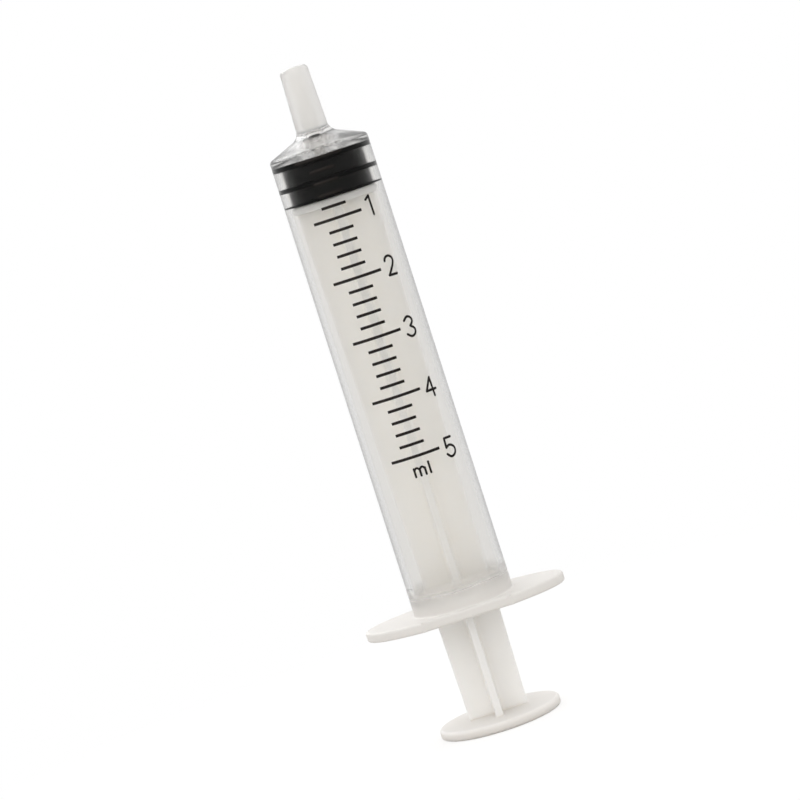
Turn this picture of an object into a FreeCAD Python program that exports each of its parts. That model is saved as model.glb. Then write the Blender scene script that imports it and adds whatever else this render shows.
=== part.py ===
import FreeCAD, Part

import math
import os

# A 5 ml dosing syringe that stands on its thumb rest with the nozzle up, plunger pressed home.
# Millimetres and degrees. The origin is the centre of the thumb rest's underside, +Z runs up the
# axis to the nozzle, the flange's two wings lie along X and the scale is printed on the -Y side.

# Barrel: one polypropylene moulding
BORE_RADIUS = 6.15
BORE_LENGTH = 65.40            # open end to the corner where the end cone starts
BARREL_WALL = 0.84
END_WALL = 1.02                # height of the shoulder's corner over the bore's corner
SHOULDER_SLOPE = 22.0          # outer cone, degrees from level
END_CONE_SLOPE = 12.0          # cone that closes the bore, degrees from level
SHOULDER_ROUNDING = 0.60
MOUTH_CHAMFER = 0.30           # lead-in at the bore's open end
BEAD_HEIGHT = 0.18             # ridge inside the bore that keeps the stopper in
BEAD_LENGTH = 1.20
BEAD_ABOVE_MOUTH = 2.20

# Nozzle: a tapered slip tip, 6 % on its diameter
NOZZLE_LENGTH = 9.35
NOZZLE_TIP_RADIUS = 1.95
NOZZLE_TAPER = 0.06
NOZZLE_BORE_RADIUS = 1.05
NOZZLE_TIP_ROUNDING = 0.65
NOZZLE_ROOT_FILLET = 0.60
NOZZLE_BORE_BEVEL = 0.15

# Finger flange: an oval plate with flat sides, moulded round the barrel's open end
FLANGE_SPAN = 28.27
FLANGE_DEPTH = 14.90           # across the flats
FLANGE_OVAL_PAST_FLAT = 0.95   # how far the oval would reach past each flat
FLANGE_THICKNESS = 1.40
FLANGE_CORNER_RADIUS = 3.00    # where a flat meets the oval
FLANGE_EDGE_BEVEL = 0.30

# Stopper: black rubber, two sealing ribs, a waist and a thin rear lip
STOPPER_LENGTH = 5.80
STOPPER_CROWN = 0.28           # dome of the front face
STOPPER_WAIST_DEPTH = 0.37     # how deep the waist lies under the ribs
STOPPER_RIB_LENGTH = 0.68
STOPPER_RIB_SPACING = 2.93     # front rib to middle rib, centre to centre
STOPPER_LIP_LENGTH = 0.24
STOPPER_LIP_ABOVE_REAR = 0.10
STOPPER_RIB_BEVEL = 0.10       # on the edges of the two ribs
STOPPER_RUNNING_GAP = 0.05     # rib to bore
STOPPER_HOME_GAP = 0.05        # front rim to the bore's corner, plunger pressed home

# Plunger rod: one polypropylene moulding, cross-shaped in section
REST_RADIUS = 8.57
REST_THICKNESS = 1.35
REST_EDGE_BEVEL = 0.30
EXPOSED_ROD = 14.58            # rod between thumb rest and flange, plunger pressed home
RIB_THICKNESS = 1.05
RIB_WIDTH_AT_REST = 8.32       # across two opposite ribs where they leave the thumb rest
RIB_SPREAD = 0.0360            # how much wider the cross gets for each millimetre of length
RIB_CORE_FILLET = 0.40         # in the four inner corners of the cross
RIB_ROOT_FILLET = 0.35         # where the cross stands on the thumb rest
RIB_EDGE_BEVEL = 0.15
FRONT_DISC_THICKNESS = 1.00
FRONT_DISC_GAP = 0.06          # disc edge to the retaining bead
FRONT_DISC_BEVEL = 0.15

# Barbed stud of the rod, held in the stopper's socket
STUD_NECK_RADIUS = 2.00
STUD_NECK_LENGTH = 1.50
STUD_HEAD_RADIUS = 2.90
STUD_HEAD_LENGTH = 2.10
STUD_HEAD_NOSE_RADIUS = 1.50
STUD_BARB_LENGTH = 0.35        # straight part of the head, behind its cone
STUD_GAP = 0.06                # stud to socket, so that the rod can turn in the stopper

# Printed scale
SCALE_CAPACITY = 5.0           # ml at the last line
SCALE_STEP = 0.2               # ml between two lines
SCALE_STEPS_PER_MAJOR = 5
SCALE_ZERO_BEHIND_FRONT = 0.18  # zero line behind the stopper's front rim
SCALE_CENTRE_TURN = -2.7       # the scale's middle, degrees round from the front towards +X
MAJOR_LINE_SPAN = 57.5         # degrees of the barrel's girth
MINOR_LINE_SPAN = 28.3
LINE_WIDTH = 0.40
INK_THICKNESS = 0.03
ML_IN_CUBIC_MM = 1000.0

SAME_PLACE = 0.01              # two points no further apart than this lie at one place


# Sizes and levels that follow from the values above
barrel_radius = BORE_RADIUS + BARREL_WALL
mouth_z = REST_THICKNESS + EXPOSED_ROD
flange_top_z = mouth_z + FLANGE_THICKNESS
bore_end_z = mouth_z + BORE_LENGTH
shoulder_z = bore_end_z + END_WALL
nozzle_root_radius = NOZZLE_TIP_RADIUS + NOZZLE_TAPER / 2 * NOZZLE_LENGTH
nozzle_root_z = shoulder_z + (barrel_radius - nozzle_root_radius) * math.tan(math.radians(SHOULDER_SLOPE))
nozzle_tip_z = nozzle_root_z + NOZZLE_LENGTH
bead_radius = BORE_RADIUS - BEAD_HEIGHT

stopper_front_z = bore_end_z - STOPPER_HOME_GAP
stopper_rear_z = stopper_front_z - STOPPER_LENGTH
stopper_rib_radius = BORE_RADIUS - STOPPER_RUNNING_GAP
stopper_waist_radius = stopper_rib_radius - STOPPER_WAIST_DEPTH

front_disc_radius = bead_radius - FRONT_DISC_GAP
front_disc_top_z = stopper_rear_z - STUD_GAP
front_disc_bottom_z = front_disc_top_z - FRONT_DISC_THICKNESS

ml_pitch = ML_IN_CUBIC_MM / (math.pi * BORE_RADIUS ** 2)
scale_zero_z = stopper_front_z - SCALE_ZERO_BEHIND_FRONT


def rounded_outline(corners):
    """Closed wire in the XZ plane through (radius, height, rounding) corners, each arc tangent to both sides."""
    points = [FreeCAD.Vector(radius, 0, height) for radius, height, _ in corners]
    starts = []
    ends = []
    arcs = []
    for i, (_, _, rounding) in enumerate(corners):
        corner = points[i]
        back = (points[i - 1] - corner).normalize()
        ahead = (points[(i + 1) % len(points)] - corner).normalize()
        if rounding == 0:
            starts.append(corner)
            ends.append(corner)
            arcs.append(None)
            continue
        half_angle = back.getAngle(ahead) / 2
        reach = rounding / math.tan(half_angle)
        centre = corner + (back + ahead).normalize() * (rounding / math.sin(half_angle))
        middle = centre + (corner - centre).normalize() * rounding
        starts.append(corner + back * reach)
        ends.append(corner + ahead * reach)
        arcs.append(Part.Arc(starts[i], middle, ends[i]).toShape())
    edges = []
    for i in range(len(points)):
        following = (i + 1) % len(points)
        if arcs[i]:
            edges.append(arcs[i])
        edges.append(Part.LineSegment(ends[i], starts[following]).toShape())
    return Part.Wire(edges)


def turned(corners):
    """Solid turned about the axis from a rounded outline."""
    face = Part.Face(rounded_outline(corners))
    return face.revolve(FreeCAD.Vector(0, 0, 0), FreeCAD.Vector(0, 0, 1), 360)


def edges_where(shape, test):
    """The edges of a shape whose two ends and centre all pass the test."""
    chosen = []
    for edge in shape.Edges:
        spots = [vertex.Point for vertex in edge.Vertexes]
        spots.append(edge.CenterOfMass)
        if all(test(spot) for spot in spots):
            chosen.append(edge)
    return chosen


def flange_plate():
    """Oval plate with two flat sides and bevelled edges."""
    oval_reach = FLANGE_DEPTH / 2 + FLANGE_OVAL_PAST_FLAT
    oval = Part.Ellipse(FreeCAD.Vector(0, 0, mouth_z), FLANGE_SPAN / 2, oval_reach)
    plate = Part.Face(Part.Wire(oval.toShape())).extrude(FreeCAD.Vector(0, 0, FLANGE_THICKNESS))
    between_flats = Part.makeBox(
        FLANGE_SPAN, FLANGE_DEPTH, FLANGE_THICKNESS, FreeCAD.Vector(-FLANGE_SPAN / 2, -FLANGE_DEPTH / 2, mouth_z)
    )
    plate = plate.common(between_flats)
    upright = []
    for edge in plate.Edges:
        ends = [vertex.Point for vertex in edge.Vertexes]
        stands = len(ends) == 2 and abs(ends[0].z - ends[1].z) > FLANGE_THICKNESS / 2
        at_flat = abs(abs(ends[0].y) - FLANGE_DEPTH / 2) < SAME_PLACE
        if stands and at_flat:
            upright.append(edge)
    plate = plate.makeFillet(FLANGE_CORNER_RADIUS, upright)
    top = edges_where(plate, lambda p: p.z > flange_top_z - SAME_PLACE)
    bottom = edges_where(plate, lambda p: p.z < mouth_z + SAME_PLACE)
    return plate.makeChamfer(FLANGE_EDGE_BEVEL, top + bottom)


def barrel_outside():
    """Tube, shoulder and nozzle as one turned solid, with nothing bored out yet."""
    return turned([
        (0, mouth_z, 0),
        (barrel_radius, mouth_z, 0),
        (barrel_radius, shoulder_z, SHOULDER_ROUNDING),
        (nozzle_root_radius, nozzle_root_z, NOZZLE_ROOT_FILLET),
        (NOZZLE_TIP_RADIUS, nozzle_tip_z, NOZZLE_TIP_ROUNDING),
        (0, nozzle_tip_z, 0),
    ])


def barrel_inside():
    """The space in the barrel: mouth, bead, bore, end cone and nozzle bore."""
    past_end = 1.0
    bead_bottom_z = mouth_z + BEAD_ABOVE_MOUTH
    bead_top_z = bead_bottom_z + BEAD_LENGTH
    bead_ramp = BEAD_LENGTH / 3
    cone_top_z = bore_end_z + (BORE_RADIUS - NOZZLE_BORE_RADIUS) * math.tan(math.radians(END_CONE_SLOPE))
    mouth_radius = BORE_RADIUS + MOUTH_CHAMFER
    return turned([
        (0, mouth_z - past_end, 0),
        (mouth_radius, mouth_z - past_end, 0),
        (mouth_radius, mouth_z, 0),
        (BORE_RADIUS, mouth_z + MOUTH_CHAMFER, 0),
        (BORE_RADIUS, bead_bottom_z, 0),
        (bead_radius, bead_bottom_z + bead_ramp, 0),
        (bead_radius, bead_top_z - bead_ramp, 0),
        (BORE_RADIUS, bead_top_z, 0),
        (BORE_RADIUS, bore_end_z, 0),
        (NOZZLE_BORE_RADIUS, cone_top_z, 0),
        (NOZZLE_BORE_RADIUS, nozzle_tip_z - NOZZLE_BORE_BEVEL, 0),
        (NOZZLE_BORE_RADIUS + NOZZLE_BORE_BEVEL, nozzle_tip_z, 0),
        (NOZZLE_BORE_RADIUS + NOZZLE_BORE_BEVEL, nozzle_tip_z + past_end, 0),
        (0, nozzle_tip_z + past_end, 0),
    ])


def make_barrel():
    """Barrel, shoulder, nozzle and finger flange in one piece."""
    return barrel_outside().fuse(flange_plate()).cut(barrel_inside()).removeSplitter()


def stud_outline(gap):
    """Half outline of the rod's barbed stud from the axis up to its nose, grown by a gap for the socket."""
    neck_top_z = front_disc_top_z + STUD_NECK_LENGTH
    head_top_z = neck_top_z + STUD_HEAD_LENGTH
    return [
        (STUD_NECK_RADIUS + gap, neck_top_z - gap, 0),
        (STUD_HEAD_RADIUS + gap, neck_top_z - gap, 0),
        (STUD_HEAD_RADIUS + gap, neck_top_z + STUD_BARB_LENGTH, 0),
        (STUD_HEAD_NOSE_RADIUS + gap, head_top_z + gap, 0),
        (0, head_top_z + gap, 0),
    ]


def sealing_rib(low_z):
    """Outline corners of one sealing rib of the stopper, from the waist out and back, going up."""
    high_z = low_z + STOPPER_RIB_LENGTH
    return [
        (stopper_waist_radius, low_z, 0),
        (stopper_rib_radius - STOPPER_RIB_BEVEL, low_z, 0),
        (stopper_rib_radius, low_z + STOPPER_RIB_BEVEL, 0),
        (stopper_rib_radius, high_z - STOPPER_RIB_BEVEL, 0),
        (stopper_rib_radius - STOPPER_RIB_BEVEL, high_z, 0),
        (stopper_waist_radius, high_z, 0),
    ]


def rear_lip():
    """Outline corners of the thin lip near the stopper's rear face, going up."""
    low_z = stopper_rear_z + STOPPER_LIP_ABOVE_REAR
    high_z = low_z + STOPPER_LIP_LENGTH
    return [
        (stopper_waist_radius, low_z, 0),
        (stopper_rib_radius, low_z, 0),
        (stopper_rib_radius, high_z, 0),
        (stopper_waist_radius, high_z, 0),
    ]


def make_stopper():
    """Ribbed rubber stopper with a socket for the rod's stud."""
    front_rib = sealing_rib(stopper_front_z - STOPPER_RIB_LENGTH)
    middle_rib = sealing_rib(stopper_front_z - STOPPER_RIB_LENGTH - STOPPER_RIB_SPACING)
    outside = turned(
        [(0, stopper_rear_z, 0), (stopper_waist_radius, stopper_rear_z, 0)]
        + rear_lip() + middle_rib + front_rib[:-1]
        + [(0, stopper_front_z + STOPPER_CROWN, 0)]
    )
    socket = turned(
        [(0, stopper_rear_z - STUD_GAP, 0), (STUD_NECK_RADIUS + STUD_GAP, stopper_rear_z - STUD_GAP, 0)]
        + stud_outline(STUD_GAP)
    )
    return outside.cut(socket)


def rib_plate():
    """One tapered plate of the cross, lying in the XZ plane and centred on the axis."""
    length = front_disc_bottom_z - REST_THICKNESS
    low = RIB_WIDTH_AT_REST / 2
    high = low + RIB_SPREAD / 2 * length
    into_disc = FRONT_DISC_THICKNESS / 2
    into_rest = REST_THICKNESS / 2
    corners = [
        FreeCAD.Vector(-low, -RIB_THICKNESS / 2, REST_THICKNESS - into_rest),
        FreeCAD.Vector(low, -RIB_THICKNESS / 2, REST_THICKNESS - into_rest),
        FreeCAD.Vector(low, -RIB_THICKNESS / 2, REST_THICKNESS),
        FreeCAD.Vector(high, -RIB_THICKNESS / 2, front_disc_bottom_z),
        FreeCAD.Vector(high, -RIB_THICKNESS / 2, front_disc_bottom_z + into_disc),
        FreeCAD.Vector(-high, -RIB_THICKNESS / 2, front_disc_bottom_z + into_disc),
        FreeCAD.Vector(-high, -RIB_THICKNESS / 2, front_disc_bottom_z),
        FreeCAD.Vector(-low, -RIB_THICKNESS / 2, REST_THICKNESS),
    ]
    face = Part.Face(Part.makePolygon(corners + corners[:1]))
    plate = face.extrude(FreeCAD.Vector(0, RIB_THICKNESS, 0))
    middle_z = (REST_THICKNESS + front_disc_bottom_z) / 2
    reach = (low + high) / 2
    outer = [
        edge for edge in plate.Edges
        if abs(edge.CenterOfMass.z - middle_z) < SAME_PLACE
        and abs(abs(edge.CenterOfMass.x) - reach) < SAME_PLACE
    ]
    return plate.makeChamfer(RIB_EDGE_BEVEL, outer)


def rib_cross():
    """Two tapered plates at right angles, with fillets in the four inner corners."""
    plate = rib_plate()
    turned_plate = plate.copy()
    turned_plate.rotate(FreeCAD.Vector(0, 0, 0), FreeCAD.Vector(0, 0, 1), 90)
    cross = plate.fuse(turned_plate).removeSplitter()
    half = RIB_THICKNESS / 2
    inner = edges_where(
        cross, lambda p: abs(abs(p.x) - half) < SAME_PLACE and abs(abs(p.y) - half) < SAME_PLACE
    )
    return cross.makeFillet(RIB_CORE_FILLET, inner)


def make_plunger_rod():
    """Thumb rest, cross-shaped rod, front disc and barbed stud in one piece."""
    thumb_rest = turned([
        (0, 0, 0),
        (REST_RADIUS - REST_EDGE_BEVEL, 0, 0),
        (REST_RADIUS, REST_EDGE_BEVEL, 0),
        (REST_RADIUS, REST_THICKNESS - REST_EDGE_BEVEL, 0),
        (REST_RADIUS - REST_EDGE_BEVEL, REST_THICKNESS, 0),
        (0, REST_THICKNESS, 0),
    ])
    rod = thumb_rest.fuse(rib_cross()).removeSplitter()
    half = RIB_THICKNESS / 2
    reach = RIB_WIDTH_AT_REST / 2
    foot = edges_where(
        rod,
        lambda p: abs(p.z - REST_THICKNESS) < SAME_PLACE and math.hypot(p.x, p.y) < reach + half,
    )
    rod = rod.makeFillet(RIB_ROOT_FILLET, foot)
    front = turned(
        [
            (0, front_disc_bottom_z, 0),
            (front_disc_radius - FRONT_DISC_BEVEL, front_disc_bottom_z, 0),
            (front_disc_radius, front_disc_bottom_z + FRONT_DISC_BEVEL, 0),
            (front_disc_radius, front_disc_top_z - FRONT_DISC_BEVEL, 0),
            (front_disc_radius - FRONT_DISC_BEVEL, front_disc_top_z, 0),
            (STUD_NECK_RADIUS, front_disc_top_z, 0),
        ]
        + stud_outline(0)
    )
    return rod.fuse(front).removeSplitter()


def scale_line(height, span):
    """One printed line: a thin curved bar on the barrel, centred on the scale's middle."""
    outer = Part.makeCylinder(
        barrel_radius + INK_THICKNESS, LINE_WIDTH, FreeCAD.Vector(0, 0, height - LINE_WIDTH / 2),
        FreeCAD.Vector(0, 0, 1), span,
    )
    inner = Part.makeCylinder(
        barrel_radius, LINE_WIDTH, FreeCAD.Vector(0, 0, height - LINE_WIDTH / 2), FreeCAD.Vector(0, 0, 1), 360
    )
    line = outer.cut(inner)
    front = -90
    line.rotate(FreeCAD.Vector(0, 0, 0), FreeCAD.Vector(0, 0, 1), front + SCALE_CENTRE_TURN - span / 2)
    return line


def make_scale_print():
    """All lines of the scale, from zero at the stopper's front rib down to the last one."""
    steps = round(SCALE_CAPACITY / SCALE_STEP)
    lines = []
    for step in range(steps + 1):
        height = scale_zero_z - step * SCALE_STEP * ml_pitch
        span = MINOR_LINE_SPAN
        if step % SCALE_STEPS_PER_MAJOR == 0:
            span = MAJOR_LINE_SPAN
        lines.append(scale_line(height, span))
    return Part.makeCompound(lines)


os.makedirs("parts", exist_ok=True)
nodes = {
    "barrel": make_barrel(),
    "stopper": make_stopper(),
    "plunger_rod": make_plunger_rod(),
    "scale_print": make_scale_print(),
}
for name, shape in nodes.items():
    shape.exportStep(f"parts/{name}.step")
    print(name, "solids", len(shape.Solids), "valid", shape.isValid(), "volume", round(shape.Volume, 2))
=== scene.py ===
import logging
import math
from dataclasses import dataclass
from enum import Enum
from functools import cached_property
from typing import Callable, Iterable, Sequence

import bmesh
import bpy
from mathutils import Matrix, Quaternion, Vector

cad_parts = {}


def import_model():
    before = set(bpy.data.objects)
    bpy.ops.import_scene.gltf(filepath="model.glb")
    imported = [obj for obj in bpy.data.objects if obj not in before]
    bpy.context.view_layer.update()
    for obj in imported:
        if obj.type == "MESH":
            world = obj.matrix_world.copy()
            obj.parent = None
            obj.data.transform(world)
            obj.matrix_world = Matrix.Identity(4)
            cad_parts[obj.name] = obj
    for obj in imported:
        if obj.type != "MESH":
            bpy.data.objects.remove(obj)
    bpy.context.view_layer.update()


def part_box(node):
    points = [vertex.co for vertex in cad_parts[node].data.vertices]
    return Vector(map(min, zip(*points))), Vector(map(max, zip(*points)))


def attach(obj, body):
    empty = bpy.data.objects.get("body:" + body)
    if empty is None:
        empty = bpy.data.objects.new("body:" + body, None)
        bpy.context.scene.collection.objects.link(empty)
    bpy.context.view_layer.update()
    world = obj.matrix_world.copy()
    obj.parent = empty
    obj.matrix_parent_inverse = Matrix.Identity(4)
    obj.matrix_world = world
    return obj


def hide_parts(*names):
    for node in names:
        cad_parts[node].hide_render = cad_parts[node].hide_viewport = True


# A 5 ml dosing syringe that stands on its thumb rest, nozzle up, with the plunger pressed home.
# Sizes are in millimetres. Each piece is modelled in millimetres and shrunk to metres when it is finished.

MM = 0.001
ROUND_STEPS = 160  # facets round a turned piece
POLE = 0.05  # radius of the small flat face that closes a turned piece on the axis
NEAR = 0.004  # two places no further apart than this are one place
SMOOTH = 35.0  # degrees that an edge turns by at most where it is smoothed
CORNER = 45.0  # degrees that a corner turns by at least
FACING = 0.999  # least cosine between a face's normal and the way that it faces
LOG = logging.getLogger("dosing_syringe")

Piece = bpy.types.Object
Curve = bpy.types.Curve
Material = bpy.types.Material
Tree = bpy.types.NodeTree
Node = bpy.types.Node
Socket = bpy.types.NodeSocket
Edge = bmesh.types.BMEdge
Test = Callable[[Edge | bmesh.types.BMFace], bool]


class Body(Enum):
    """The moving bodies that the pieces ride on."""

    PLUNGER = "plunger"
    STOPPER = "stopper"
    BARREL = "barrel"


class Slot(Enum):
    """The record's material slots."""

    BARREL = "barrel_plastic"
    ROD = "rod_plastic"
    RUBBER = "stopper_rubber"
    INK = "scale_ink"


def millimetres(node: str) -> tuple[Vector, Vector]:
    """The box of a CAD node in millimetres.

    Args:
        node: Name of the CAD node.

    Returns:
        Its lowest and its highest corner.
    """
    low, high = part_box(node)
    return low / MM, high / MM


# Modelling

@dataclass(frozen=True)
class Ring:
    """One ring of a turned outline.

    Args:
        radius: Its radius, or its half width along X where it is oval.
        height: Its height on the axis.
        rounding: The radius that this corner is rounded to.
        deep: Its half width along Y where it is oval.
    """

    radius: float
    height: float
    rounding: float = 0.0
    deep: float = 0.0

    @property
    def half_depth(self) -> float:
        """Half width along Y."""
        return self.deep or self.radius


def pick(piece: Piece) -> None:
    """Selects one piece alone and makes it the active one."""
    bpy.ops.object.select_all(action="DESELECT")
    bpy.context.view_layer.objects.active = piece
    piece.select_set(True)


def start_editing(piece: Piece) -> None:
    """Opens one piece in edit mode with nothing selected."""
    pick(piece)
    bpy.ops.object.mode_set(mode="EDIT")
    bpy.ops.mesh.select_mode(type="EDGE")
    bpy.ops.mesh.select_all(action="DESELECT")


def stop_editing() -> None:
    """Goes back to object mode."""
    bpy.ops.object.mode_set(mode="OBJECT")


def select(piece: Piece, mode: str, test: Test) -> int:
    """Selects the edges or faces of the piece in edit mode that pass a test, and nothing else.

    Args:
        piece: The piece that is open in edit mode.
        mode: EDGE or FACE.
        test: Says of one edge or face whether it is wanted.

    Returns:
        How many are selected.
    """
    bpy.ops.mesh.select_mode(type=mode)
    bpy.ops.mesh.select_all(action="DESELECT")
    mesh = bmesh.from_edit_mesh(piece.data)
    wanted = [part for part in (mesh.edges if mode == "EDGE" else mesh.faces) if test(part)]
    for part in wanted:
        part.select_set(True)
    bmesh.update_edit_mesh(piece.data)
    return len(wanted)


def round_off(piece: Piece, test: Test, reach: float, steps: int) -> None:
    """Rounds the edges that pass a test.

    Args:
        piece: The piece that is open in edit mode.
        test: Says of one edge whether it is rounded.
        reach: How far the rounding reaches from the edge along both faces.
        steps: Number of strips across the rounding.
    """
    if select(piece, "EDGE", test):
        bpy.ops.mesh.bevel(
            offset=reach, offset_type="OFFSET", segments=steps, profile=0.5, affect="EDGES",
            clamp_overlap=False,
        )


def on_ring(ring: Ring) -> Test:
    """A test for the edges that lie on a ring.

    Args:
        ring: The ring.

    Returns:
        The test, true where both ends of an edge lie on the ring.
    """
    return lambda edge: all(
        abs(vertex.co.z - ring.height) < NEAR and abs(vertex.co.xy.length - ring.radius) < NEAR
        for vertex in edge.verts
    )


def turn(name: str, rings: Sequence[Ring], closed: bool) -> Piece:
    """Grows a turned skin ring by ring and leaves it open in edit mode.

    Args:
        name: Name of the piece.
        rings: The outline's rings in order.
        closed: True joins the last ring to the first, False closes both ends with a flat face.

    Returns:
        The new piece.
    """
    bpy.ops.object.select_all(action="DESELECT")
    first = rings[0]
    bpy.ops.mesh.primitive_circle_add(
        vertices=ROUND_STEPS, radius=first.radius, location=(0, 0, first.height),
    )
    piece = bpy.context.object
    piece.name = name
    bpy.ops.object.transform_apply(location=True, rotation=False, scale=False)
    bpy.ops.object.mode_set(mode="EDIT")
    bpy.ops.mesh.select_mode(type="EDGE")
    bpy.ops.mesh.select_all(action="SELECT")
    for last, ring in zip(rings, rings[1:]):
        rise = (0, 0, ring.height - last.height)
        bpy.ops.mesh.extrude_edges_move(TRANSFORM_OT_translate={"value": rise})
        bpy.ops.transform.resize(
            value=(ring.radius / last.radius, ring.half_depth / last.half_depth, 1),
            center_override=(0, 0, ring.height),
        )
    if closed:
        select(piece, "EDGE", lambda edge: edge.is_boundary)
        bpy.ops.mesh.bridge_edge_loops()
    else:
        for end in (rings[0], rings[-1]):
            select(piece, "EDGE", on_ring(end))
            bpy.ops.mesh.edge_face_add()
    bpy.ops.mesh.select_all(action="SELECT")
    bpy.ops.mesh.normals_make_consistent(inside=False)
    return piece


def round_rings(piece: Piece, rings: Sequence[Ring], steps: int) -> None:
    """Rounds each ring that asks for it.

    Args:
        piece: The turned piece that is open in edit mode.
        rings: The outline's rings. Its first and last ring stay sharp.
        steps: Number of strips across each rounding.
    """
    for before, ring, after in zip(rings, rings[1:], rings[2:]):
        if ring.rounding:
            arriving = Vector((ring.radius - before.radius, ring.height - before.height))
            leaving = Vector((after.radius - ring.radius, after.height - ring.height))
            reach = ring.rounding * math.tan(arriving.angle(leaving) / 2)
            round_off(piece, on_ring(ring), reach, steps)


def unite(piece: Piece, others: Iterable[Piece]) -> None:
    """Joins solids to a piece as one closed skin and removes them.

    Args:
        piece: The piece that they become part of.
        others: The solids to join on.
    """
    for other in others:
        pick(piece)
        union = piece.modifiers.new("union", "BOOLEAN")
        union.operation = "UNION"
        union.solver = "EXACT"
        union.object = other
        bpy.ops.object.modifier_apply(modifier=union.name)
        bpy.data.objects.remove(other)


def finish_piece(piece: Piece) -> None:
    """Shrinks a piece to metres and smooths it, with flat faces kept flat.

    Args:
        piece: The finished piece in millimetres.
    """
    start_editing(piece)
    bpy.ops.mesh.select_all(action="SELECT")
    bpy.ops.mesh.dissolve_degenerate(threshold=NEAR / 8)
    bpy.ops.transform.resize(value=(MM, MM, MM), center_override=(0, 0, 0))
    stop_editing()
    bpy.ops.object.shade_smooth_by_angle(angle=math.radians(SMOOTH))
    weighted = piece.modifiers.new("flat faces", "WEIGHTED_NORMAL")
    weighted.keep_sharp = True
    bpy.ops.object.modifier_apply(modifier=weighted.name)


def place(piece: Piece, material: Material, body: Body, slot: Slot, node: str) -> None:
    """Dresses a piece and sets it on its body in place of its CAD node.

    Args:
        piece: The finished piece.
        material: Its material.
        body: The body that it rides on.
        slot: The record's material slot; not used.
        node: The CAD node that it stands for.
    """
    piece.data.materials.clear()
    piece.data.materials.append(material)
    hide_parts(node)
    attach(piece, body.value)
    LOG.info("%s: %d faces, rides on %s", piece.name, len(piece.data.polygons), body.value)


# Finishes

def linear(colour: str) -> tuple[float, float, float, float]:
    """Turns an sRGB colour to linear light.

    Args:
        colour: Six hex digits after a hash.

    Returns:
        Linear red, green and blue, and an alpha of 1.
    """
    parts = [int(colour[i:i + 2], 16) / 255 for i in (1, 3, 5)]
    red, green, blue = (
        part / 12.92 if part <= 0.04045 else ((part + 0.055) / 1.055) ** 2.4 for part in parts
    )
    return red, green, blue, 1.0


def add_node(
    tree: Tree,
    kind: str,
    values: dict[str | int, object] | None = None,
    links: dict[str | int, Socket] | None = None,
    **settings: object,
) -> Node:
    """Adds a node with its settings, socket values and links.

    Args:
        tree: The node tree.
        kind: The node's type name, without the ShaderNode that each of them starts with.
        values: Values for its input sockets.
        links: Output sockets that feed its input sockets.
        settings: Properties of the node.

    Returns:
        The new node.
    """
    node = tree.nodes.new("ShaderNode" + kind)
    for name, value in settings.items():
        setattr(node, name, value)
    for socket, value in (values or {}).items():
        node.inputs[socket].default_value = value
    for socket, source in (links or {}).items():
        tree.links.new(source, node.inputs[socket])
    return node


def blank_material(name: str) -> tuple[Material, Tree, Socket]:
    """Makes an empty node material.

    Args:
        name: Its name.

    Returns:
        The material, its node tree and the surface socket of its output.
    """
    material = bpy.data.materials.new(name)
    material.use_nodes = True
    tree = material.node_tree
    tree.nodes.clear()
    output = add_node(tree, "OutputMaterial")
    return material, tree, output.inputs["Surface"]


def mix_colours(tree: Tree, first: str, second: str | Socket, factor: Socket) -> Socket:
    """Blends two colours by a factor.

    Args:
        tree: The node tree.
        first: The colour at factor 0, in hex.
        second: The colour at factor 1, in hex or as a socket.
        factor: The socket that gives the factor.

    Returns:
        The blended colour's socket.
    """
    blend = add_node(tree, "Mix", links={"Factor": factor}, data_type="RGBA")
    first_socket, second_socket = (socket for socket in blend.inputs if socket.type == "RGBA")
    first_socket.default_value = linear(first)
    if isinstance(second, str):
        second_socket.default_value = linear(second)
    else:
        tree.links.new(second, second_socket)
    return next(socket for socket in blend.outputs if socket.type == "RGBA")


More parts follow.
